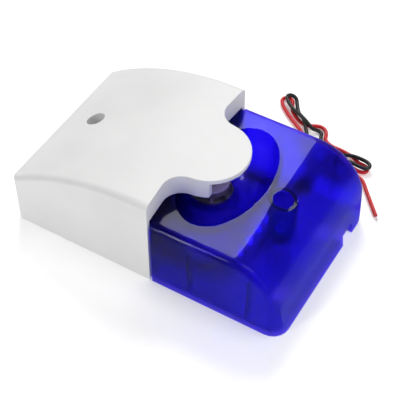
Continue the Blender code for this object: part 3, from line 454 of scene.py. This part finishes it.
def boardFinish(name, mask, raised, setup):
    # solder mask over copper tracks, with tinned pads where cells fall, their holes painted dark
    # as shade
    finish = Finish(name)
    x, y = finish.axes()[:2]
    where = finish.noise(140.0, 1, 0.4)
    pitch, half = setup["pitch"], setup["track"] / 2
    along = (x.wrap(pitch) - pitch / 2).size().under(half)
    across = (y.wrap(pitch) - pitch / 2).size().under(half)
    run = along * where.over(0.52) + across * where.under(0.44)
    padX = (x.wrap(2 * pitch) - pitch) ** 2.0
    padY = (y.wrap(3 * pitch) - 1.5 * pitch) ** 2.0
    away = (padX + padY) ** 0.5
    pad = away.under(setup["pad"]) * finish.noise(90.0, 0, 0.5).over(0.5)
    hole = away.under(setup["pad"] * setup["hole"])
    weave = finish.noise(1500.0, 2, 0.5)
    plain = finish.blendColour(0.35 * weave, mask, raised)
    tracked = finish.blendColour(run.least(1.0) * 0.8, plain, raised)
    tinned = finish.blendColour(pad, tracked, setup["tinned"])
    # painted shade: each pad's hole is painted near black
    colour = finish.blendColour(pad * hole, tinned, setup["holeShade"])
    return finish.set(
        colour=colour, rough=0.34 + 0.10 * weave - 0.08 * pad, metal=0.8 * pad * (1.0 - hole),
        normal=finish.bump(run.least(1.0) + 0.8 * pad - 1.5 * pad * hole, 0.5, 0.00005),
    )


def ferriteFinish():
    finish = Finish("sintered_ferrite")
    grit = finish.noise(1700.0, 4, 0.65)
    colour = finish.ramp(grit, [(0.3, (0.045, 0.045, 0.05)), (0.7, (0.11, 0.11, 0.115))])
    return finish.set(
        colour=colour, rough=0.55 + 0.25 * grit, normal=finish.bump(grit, 0.35, 0.00008),
    )


windingSet = {"wire": 0.00042}


def windingFinish(setup):
    # enamelled wire laid in turns up the bobbin
    finish = Finish("enamelled_winding")
    z = finish.axes()[2]
    turns = (z * (2 * math.pi / setup["wire"])).sine()
    shade = finish.noise(500.0, 3, 0.6)
    # painted highlight and shade: lighter on each turn's crown, darker in the grooves between
    # turns
    colour = finish.ramp(
        0.5 * shade + 0.25 * turns + 0.25,
        [(0.2, (0.28, 0.09, 0.03)), (0.8, (0.80, 0.36, 0.15))],
    )
    return finish.set(
        colour=colour, rough=0.26 + 0.15 * shade, metal=0.85, coat=0.3,
        normal=finish.bump(turns, 0.7, 0.00012),
    )


def moulding(name, low, high, rough, scale=1500.0):
    # dark moulded compound: matt grain with polished high spots
    finish = Finish(name)
    grain = finish.noise(scale, 3, 0.6)
    cloud = finish.noise(160.0, 2, 0.5)
    colour = finish.ramp(0.6 * grain + 0.4 * cloud, [(0.32, low), (0.68, high)])
    return finish.set(
        colour=colour, rough=rough + 0.16 * (grain - 0.5) + 0.08 * cloud,
        normal=finish.bump(grain, 0.25, 0.00006),
    )


def lampFinish():
    finish = Finish("clear_lamp_epoxy")
    swirl = finish.noise(420.0, 2, 0.5)
    colour = finish.ramp(swirl, [(0.3, (0.86, 0.90, 0.95)), (0.7, (0.96, 0.98, 1.0))])
    return finish.set(
        colour=colour, rough=0.04 + 0.06 * swirl, glass=0.95, ior=1.52,
        normal=finish.bump(swirl, 0.1, 0.0001),
    )


resistorSet = {
    "middle": -0.0300,
    "bands": [(-0.0017, (0.20, 0.07, 0.02)), (-0.0007, (0.01, 0.01, 0.01)),
              (0.0003, (0.55, 0.02, 0.02)), (0.0016, (0.70, 0.50, 0.12))],
    "half": 0.00026,
    "body": 0.0032,  # half length, past which the wire shows
    "wire": (0.68, 0.68, 0.66),
}


def resistorFinish(setup):
    # painted body with colour bands, and tinned wires past its ends
    finish = Finish("banded_resistor")
    x = finish.axes()[0]
    grain = finish.noise(1300.0, 2, 0.5)
    colour = finish.ramp(grain, [(0.3, (0.52, 0.38, 0.22)), (0.7, (0.66, 0.51, 0.32))])
    for offset, paint in setup["bands"]:
        band = (x - (setup["middle"] + offset)).size().under(setup["half"])
        colour = finish.blendColour(band, colour, paint)
    wire = (x - setup["middle"]).size().over(setup["body"])
    colour = finish.blendColour(wire, colour, setup["wire"])
    return finish.set(
        colour=colour, rough=0.38 + 0.10 * grain - 0.1 * wire, metal=0.9 * wire,
        normal=finish.bump(grain, 0.2, 0.00004), coat=0.25,
    )


diodeSet = {
    "middle": -0.0240,
    "body": 0.0026,
    "bandAt": -0.0255,
    "half": 0.00035,
    "band": (0.62, 0.62, 0.60),
    "wire": (0.66, 0.66, 0.64),
}


def diodeFinish(setup):
    # black body with one pale band, and tinned wires past its ends
    finish = Finish("banded_diode")
    x = finish.axes()[0]
    grain = finish.noise(1500.0, 2, 0.5)
    band = (x - setup["bandAt"]).size().under(setup["half"])
    wire = (x - setup["middle"]).size().over(setup["body"])
    body = finish.ramp(grain, [(0.3, (0.012, 0.012, 0.013)), (0.7, (0.03, 0.03, 0.032))])
    ringed = finish.blendColour(band, body, setup["band"])
    return finish.set(
        colour=finish.blendColour(wire, ringed, setup["wire"]), rough=0.42 + 0.12 * grain,
        metal=0.9 * wire, normal=finish.bump(grain, 0.2, 0.00004),
    )


canSet = {
    "middle": (-0.0150, -0.0120),
    "stripe": 0.0011,
    "rim": 0.0005,  # how far the lid's can shows down its side
    "lid": 0.0034,
    "score": 0.00014,
    "stripeColour": (0.42, 0.48, 0.60),
    "can": (0.66, 0.66, 0.67),
}


def sleeveFinish(setup, top):
    # shrink sleeve with a pale stripe down one side, and the scored can above it
    finish = Finish("capacitor_sleeve")
    x, y, z = finish.axes()
    grain = finish.noise(900.0, 2, 0.5)
    middleX, middleY = setup["middle"]
    fromX, fromY = x - middleX, y - middleY
    stripe = fromY.size().under(setup["stripe"]) * x.over(middleX)
    away = (fromX ** 2.0 + fromY ** 2.0) ** 0.5
    lid = z.over(top - setup["rim"]) * away.under(setup["lid"])
    line = setup["score"]
    score = (fromX.size().under(line) + fromY.size().under(line)).least(1.0)
    body = finish.ramp(grain, [(0.3, (0.02, 0.035, 0.10)), (0.7, (0.04, 0.06, 0.16))])
    marked = finish.blendColour(stripe, body, setup["stripeColour"])
    return finish.set(
        colour=finish.blendColour(lid, marked, setup["can"]), metal=lid,
        rough=0.30 + 0.10 * grain, normal=finish.bump(0.2 * grain - score * lid, 0.5, 0.0001),
    )


def pvcFinish(name, low, high):
    # extruded insulation: a fine ripple, and handling marks in the gloss
    finish = Finish(name)
    ripple = finish.noise(1100.0, 2, 0.5)
    marks = finish.noise(260.0, 4, 0.7)
    colour = finish.ramp(marks, [(0.30, low), (0.70, high)])
    return finish.set(
        colour=colour, rough=0.34 + 0.14 * marks, normal=finish.bump(ripple, 0.25, 0.00004),
        shine=0.35, coat=0.10, coatRough=0.15,
    )


looks = {
    "white": whitePlastic("white_abs_moulding", (0.765, 0.765, 0.762), (0.825, 0.825, 0.822)),
    "plate": whitePlastic("white_abs_plate", (0.74, 0.74, 0.735), (0.80, 0.80, 0.795)),
    "blue": lensPlastic(lensSet),
    "grey": moulding("grey_abs_moulding", (0.60, 0.60, 0.62), (0.70, 0.70, 0.72), 0.45, 2000.0),
    # the nose's darker violet colour is painted shade with painted blue bounce light on grey
    # plastic
    "nose": moulding("grey_nose_painted_violet_shade", (0.44, 0.36, 0.52), (0.54, 0.45, 0.62), 0.40, 2000.0),
    "zinc": metalFinish("zinc_plated_steel", (0.70, 0.71, 0.73), (0.46, 0.47, 0.50), 0.26),
    "tin": metalFinish("tinned_wire", (0.80, 0.80, 0.79), (0.55, 0.54, 0.52), 0.24, 1600.0),
    "solder": metalFinish("solder_joint", (0.72, 0.72, 0.71), (0.50, 0.50, 0.50), 0.22, 700.0),
    "brass": brassDisc(discSet),
    "ceramic": ceramicFinish(discSet),
    "foam": foamFinish(),
    "board": boardFinish("green_board", (0.010, 0.11, 0.045), (0.025, 0.22, 0.085), boardSet),
    "lampBoard": boardFinish("white_board", (0.62, 0.63, 0.62), (0.72, 0.73, 0.72), boardSet),
    "ferrite": ferriteFinish(),
    "winding": windingFinish(windingSet),
    "black": moulding("black_epoxy", (0.010, 0.010, 0.011), (0.035, 0.035, 0.036), 0.46),
    "rubber": moulding("black_rubber", (0.014, 0.014, 0.015), (0.040, 0.040, 0.041), 0.72, 1100.0),
    "lamp": lampFinish(),
    "resistor": resistorFinish(resistorSet),
    "diode": diodeFinish(diodeSet),
    "sleeve": sleeveFinish(canSet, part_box("capacitor")[1].z),
    "redPvc": pvcFinish("red_insulation", (0.52, 0.004, 0.012), (0.66, 0.010, 0.020)),
    "blackPvc": pvcFinish("black_insulation", (0.004, 0.004, 0.005), (0.014, 0.014, 0.015)),
}
print("finishes made:", len(looks))

leadSet = {
    "diameter": 0.0017,
    "redLength": 0.177,
    "blackLength": 0.163,
    "step": 0.0008,
    "rounds": 4,
    "strands": 7,
    "strandWire": 0.00015,
    "tip": 0.0022,
    "gap": 0.0003,
    "sunk": 0.0002,  # how far the strands start inside the lead's end
    "twist": 0.55,  # turns over the bare end
    "places": 12,
}

redRoute = [
    (0.0320, 0.0389, 0.0024), (0.0319, 0.0420, 0.0019), (0.0306, 0.0465, 0.001),
    (0.0270, 0.0530, 0.001), (0.0215, 0.0600, 0.001), (0.0179, 0.0649, 0.001),
    (0.0140, 0.0677, 0.001), (0.0093, 0.0707, 0.001), (0.0050, 0.0740, 0.001),
    (0.0021, 0.0768, 0.001), (0.0008, 0.0794, 0.001), (0.0022, 0.0816, 0.001),
    (0.0048, 0.0811, 0.001), (0.0063, 0.0782, 0.001), (0.0083, 0.0749, 0.001),
    (0.0114, 0.0722, 0.001), (0.0150, 0.0703, 0.001), (0.0180, 0.0700, 0.001),
    (0.0206, 0.0712, 0.001), (0.0234, 0.0723, 0.001), (0.0262, 0.0715, 0.001),
    (0.0279, 0.0692, 0.001), (0.0289, 0.0663, 0.001), (0.0325, 0.0642, 0.001),
    (0.0385, 0.0638, 0.001), (0.0435, 0.0629, 0.001), (0.0474, 0.0610, 0.001),
    (0.0502, 0.0607, 0.001), (0.0520, 0.0600, 0.001), (0.0526, 0.0585, 0.001),
    (0.0519, 0.0571, 0.001), (0.0500, 0.0565, 0.001), (0.0466, 0.0568, 0.001),
    (0.0432, 0.0570, 0.001), (0.0400, 0.0566, 0.001), (0.0375, 0.0555, 0.001),
    (0.0365, 0.0531, 0.001), (0.0375, 0.0507, 0.001), (0.0400, 0.0497, 0.001),
    (0.0434, 0.0503, 0.001), (0.0462, 0.0521, 0.001), (0.0494, 0.0534, 0.001),
    (0.0532, 0.0523, 0.001), (0.0573, 0.0478, 0.001), (0.0617, 0.0427, 0.001),
    (0.0664, 0.0373, 0.001),
]
blackRoute = [
    (0.0346, 0.0389, 0.0024), (0.0346, 0.0420, 0.0019), (0.0334, 0.0470, 0.001),
    (0.0300, 0.0534, 0.001), (0.0252, 0.0592, 0.0012), (0.0215, 0.0635, 0.0016),
    (0.0186, 0.0672, 0.0022), (0.0162, 0.0704, 0.00275), (0.0140, 0.0729, 0.002),
    (0.0116, 0.0750, 0.001), (0.0095, 0.0775, 0.001), (0.0078, 0.0802, 0.001),
    (0.0063, 0.0822, 0.0015), (0.0042, 0.0827, 0.0023), (0.0026, 0.0812, 0.0029),
    (0.0034, 0.0788, 0.0031), (0.0066, 0.0759, 0.0028), (0.0106, 0.0736, 0.00275),
    (0.0144, 0.0712, 0.004), (0.0182, 0.0694, 0.0036), (0.0214, 0.0686, 0.002),
    (0.0240, 0.0696, 0.001), (0.0258, 0.0686, 0.001), (0.0267, 0.0662, 0.001),
    (0.0286, 0.0636, 0.001), (0.0330, 0.0616, 0.001), (0.0385, 0.0612, 0.0012),
    (0.0436, 0.0617, 0.00275), (0.0480, 0.0620, 0.00275), (0.0510, 0.0616, 0.00275),
    (0.0527, 0.0606, 0.00275), (0.0531, 0.0591, 0.00275), (0.0520, 0.0579, 0.00275),
    (0.0496, 0.0577, 0.00275), (0.0456, 0.0584, 0.0023), (0.0420, 0.0590, 0.0012),
    (0.0388, 0.0589, 0.001), (0.0359, 0.0580, 0.001), (0.0339, 0.0558, 0.001),
    (0.0333, 0.0530, 0.001), (0.0344, 0.0501, 0.001), (0.0372, 0.0481, 0.001),
    (0.0412, 0.0474, 0.001), (0.0454, 0.0471, 0.001), (0.0492, 0.0469, 0.001),
]


def blend(first, second, low, high, at):
    return first * ((high - at) / (high - low)) + second * ((at - low) / (high - low))


def spreadCurve(route, spacing, perSpan=12):
    # evenly spaced points on a smooth curve through the route's points
    ends = [2 * route[0] - route[1]] + route + [2 * route[-1] - route[-2]]
    knots = [0.0]
    for a, b in zip(ends, ends[1:]):
        knots.append(knots[-1] + math.sqrt((b - a).length))
    fine = []
    for i in range(1, len(ends) - 2):
        k, p = knots[i - 1:i + 3], ends[i - 1:i + 3]
        for step in range(perSpan):
            t = k[1] + (k[2] - k[1]) * step / perSpan
            a = [blend(p[j], p[j + 1], k[j], k[j + 1], t) for j in range(3)]
            b = [blend(a[j], a[j + 1], k[j], k[j + 2], t) for j in range(2)]
            fine.append(blend(b[0], b[1], k[1], k[2], t))
    fine.append(route[-1])
    along = [0.0]
    for a, b in zip(fine, fine[1:]):
        along.append(along[-1] + (b - a).length)
    count = max(2, round(along[-1] / spacing))
    points, j = [], 0
    for i in range(count + 1):
        target = along[-1] * i / count
        while j < len(along) - 2 and along[j + 1] < target:
            j += 1
        share = (target - along[j]) / (along[j + 1] - along[j])
        points.append(fine[j].lerp(fine[j + 1], share))
    return points


def wireCurve(name, points, radius, rounds):
    curve = bpy.data.curves.new(name, "CURVE")
    curve.dimensions = "3D"
    curve.bevel_depth = radius
    curve.bevel_resolution = rounds
    curve.use_fill_caps = True
    spline = curve.splines.new("POLY")
    spline.points.add(len(points) - 1)
    for target, point in zip(spline.points, points):
        target.co = (*point, 1.0)
    spline.use_smooth = True
    piece = bpy.data.objects.new(name, curve)
    bpy.context.scene.collection.objects.link(piece)
    return piece


def bareEnd(name, points, setup):
    # tinned strands, twisted, straight on from the lead's last stretch
    away = (points[-1] - points[-2]).normalized()
    side = away.orthogonal().normalized()
    other = away.cross(side)
    start = points[-1] - away * setup["sunk"]
    reach = setup["tip"] + setup["gap"]
    strands = []
    for i in range(setup["strands"]):
        ring = 0.0 if i == 0 else 2.05 * setup["strandWire"] / 2
        line = []
        for j in range(setup["places"] + 1):
            share = j / setup["places"]
            angle = 2 * math.pi * (i / (setup["strands"] - 1) + setup["twist"] * share)
            around = side * math.cos(angle) + other * math.sin(angle)
            line.append(start + away * (reach + setup["sunk"]) * share + around * ring)
        strands.append(wireCurve(f"{name}_strand", line, setup["strandWire"] / 2, 1))
    for strand in strands:
        pick(strand)
        bpy.ops.object.convert(target="MESH")
    return smoothBy(joinPieces(strands, name), 60)


def makeLeads(setup):
    for colour, route, length, look, slot in (
        ("red", redRoute, setup["redLength"], looks["redPvc"], "red_pvc"),
        ("black", blackRoute, setup["blackLength"], looks["blackPvc"], "black_pvc"),
    ):
        points = spreadCurve([Vector(p) for p in route], setup["step"])
        lead = wireCurve(f"{colour}_flying_lead", points, setup["diameter"] / 2, setup["rounds"])
        lead.data.materials.append(look)
        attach(lead, "base")
        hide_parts(f"{colour}_lead")
        end = bareEnd(f"{colour}_bare_strands", points, setup)
        finishPiece(end, looks["tin"], "base", "tin", f"{colour}_lead_tip")


makeLeads(leadSet)
print("leads laid")

coverSet = {
    "merge": 0.000002,
    "flat": 0.6,  # degrees, under which neighbours count as one flat area
    "edge": 0.00030,
    "rounds": 3,
    "sharp": 38,  # degrees, over which an edge is softened
    "smooth": 40,
}


def makeCover(setup):
    cover = weldedCopy("white_cover", "cover_moulding", setup)
    softEdges(cover, setup["edge"], setup["rounds"], setup["sharp"])
    smoothBy(cover, setup["smooth"])
    evenNormals(cover)
    finishPiece(cover, looks["white"], "cover", "white_abs", "white_cover")


makeCover(coverSet)
print("cover made")

lensShape = {
    "merge": 0.000002, "flat": 0.6, "edge": 0.00030, "rounds": 3, "sharp": 38, "smooth": 40,
}


def makeLens(setup):
    lens = weldedCopy("blue_lens", "lens_moulding", setup)
    softEdges(lens, setup["edge"], setup["rounds"], setup["sharp"])
    smoothBy(lens, setup["smooth"])
    evenNormals(lens)
    finishPiece(lens, looks["blue"], "lens", "blue_lens", "blue_lens")


makeLens(lensShape)
print("lens made")

nodeLooks = {
    "back_plate": "plate", "main_board": "board", "lamp_board": "lampBoard", "horn_body": "grey",
    "horn_nose": "nose", "horn_gasket": "foam", "sounder_cap": "grey", "sounder_disc": "brass",
    "sounder_ceramic": "ceramic", "coil_core": "ferrite", "coil_winding": "winding",
    "driver_chip": "black", "driver_transistor": "black", "capacitor": "sleeve",
    "flyback_diode": "diode", "resistor_1": "resistor", "resistor_2": "resistor",
    "resistor_3": "resistor", "outlet_bush": "rubber", "cover_screw": "zinc", "lens_screw": "zinc",
    "inner_red_lead": "redPvc", "inner_black_lead": "blackPvc", "lamp_lead_1": "redPvc",
    "lamp_lead_2": "blackPvc", "sounder_lead_1": "redPvc", "sounder_lead_2": "blackPvc",
}


def lookOf(name):
    if name in nodeLooks:
        return looks[nodeLooks[name]]
    if "lamp" in name and "screw" not in name:
        return looks["lamp"]
    return looks["zinc"]


for name, node in nodes.items():
    if not node.hide_render:
        node.data.materials.clear()
        node.data.materials.append(lookOf(name))
print("packed nodes finished")

jointSet = {
    "pad": 0.00095,
    "rise": 0.0007,
    "neck": 0.45,  # of the pad, at the joint's top
    "inset": 0.12,  # of the pad, round the wire
    "wire": 0.0006,
    "sides": 10,
    "mainJoints": [
        # places on the main board
        (-0.0195, 0.0055), (-0.0285, 0.0056), (-0.0172, 0.0150), (-0.0172, 0.0090),
        (-0.0100, -0.0165), (-0.0100, -0.0195), (-0.0120, 0.0045), (-0.0120, 0.0020),
    ],
}


def makeSolderJoint(name, centre, setup):
    # a low dome: a short cone drawn in at its top, with a wire end standing in it
    clearPick()
    bpy.ops.mesh.primitive_cone_add(
        vertices=setup["sides"], radius1=setup["pad"], radius2=setup["pad"] * setup["neck"],
        depth=setup["rise"], location=centre + Vector((0, 0, setup["rise"] / 2)),
    )
    joint = settle(named(name))
    top = centre.z + setup["rise"]
    chooseFaces(joint, lambda place, way: way.z > 0.9 and place.z > top - 0.00005)
    bpy.ops.mesh.inset(thickness=setup["pad"] * setup["inset"])
    bpy.ops.mesh.extrude_region_move(TRANSFORM_OT_translate={"value": (0, 0, setup["wire"])})
    leaveEdit()
    return smoothBy(joint, 50)


def makeJointRow(name, places, level, setup):
    first = makeSolderJoint(name, Vector((0, 0, 0)), setup)
    row = []
    for place in places:
        item = first.copy()
        item.data = first.data.copy()
        bpy.context.scene.collection.objects.link(item)
        item.data.transform(Matrix.Translation((place[0], place[1], level)))
        row.append(item)
    bpy.data.objects.remove(first, do_unlink=True)
    return joinPieces(row, name)


def makeJoints(setup):
    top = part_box("main_board")[1].z
    row = makeJointRow("solder_joints", setup["mainJoints"], top, setup)
    finishPiece(row, looks["solder"], "base", "tin")


makeJoints(jointSet)
print("solder joints made")

stageSet = {
    "floor": 6.0,
    "drop": 0.0002,
    "glow": 0.27,
    "sky": 0.25,
    "boxes": [
        # place, aim, width, depth, watts: the first is mirrored in the flat top of the lens, the
        # second lights from above, the strip brightens the near edge, the last lights the wave
        ((-0.262, 0.466, 0.646), (0.015, 0.0, 0.03), 0.27, 0.27, 3.40),
        ((0.40, 0.10, 1.10), (0.015, 0.0, 0.03), 0.50, 0.50, 3.6),
        ((-0.325, -0.90, 0.47), (0.020, -0.036, 0.031), 0.09, 0.50, 2.3),
        ((0.92, -0.26, 0.48), (0.050, -0.035, 0.03), 0.22, 0.22, 1.8),
    ],
}


def makeStage(setup):
    clearPick()
    bpy.ops.mesh.primitive_plane_add(size=setup["floor"], location=(0, 0, -setup["drop"]))
    floor = named("pale_floor")
    finish = Finish("pale_paper")
    speck = finish.noise(60.0, 3, 0.5)
    colour = finish.ramp(speck, [(0.3, (0.93, 0.93, 0.93)), (0.7, (0.96, 0.96, 0.96))])
    floor.data.materials.append(
        finish.set(colour=colour, rough=0.80 + 0.1 * speck, shine=0.1, glow=setup["glow"])
    )
    world = bpy.data.worlds.new("studio_sky")
    bpy.context.scene.world = world
    world.use_nodes = True
    sky = world.node_tree.nodes["Background"]
    sky.inputs["Color"].default_value = (1, 1, 1, 1)
    sky.inputs["Strength"].default_value = setup["sky"]
    for i, (place, aim, width, depth, watts) in enumerate(setup["boxes"]):
        lightData = bpy.data.lights.new(f"soft_box_{i + 1}", "AREA")
        lightData.shape = "RECTANGLE"
        lightData.size = width
        lightData.size_y = depth
        lightData.energy = watts
        light = bpy.data.objects.new(f"soft_box_{i + 1}", lightData)
        bpy.context.scene.collection.objects.link(light)
        light.location = place
        light.rotation_euler = (Vector(aim) - Vector(place)).to_track_quat("-Z", "Y").to_euler()
    bpy.context.scene.view_settings.view_transform = "Standard"
    bpy.context.scene.view_settings.look = "None"


makeStage(stageSet)
print("stage lit")
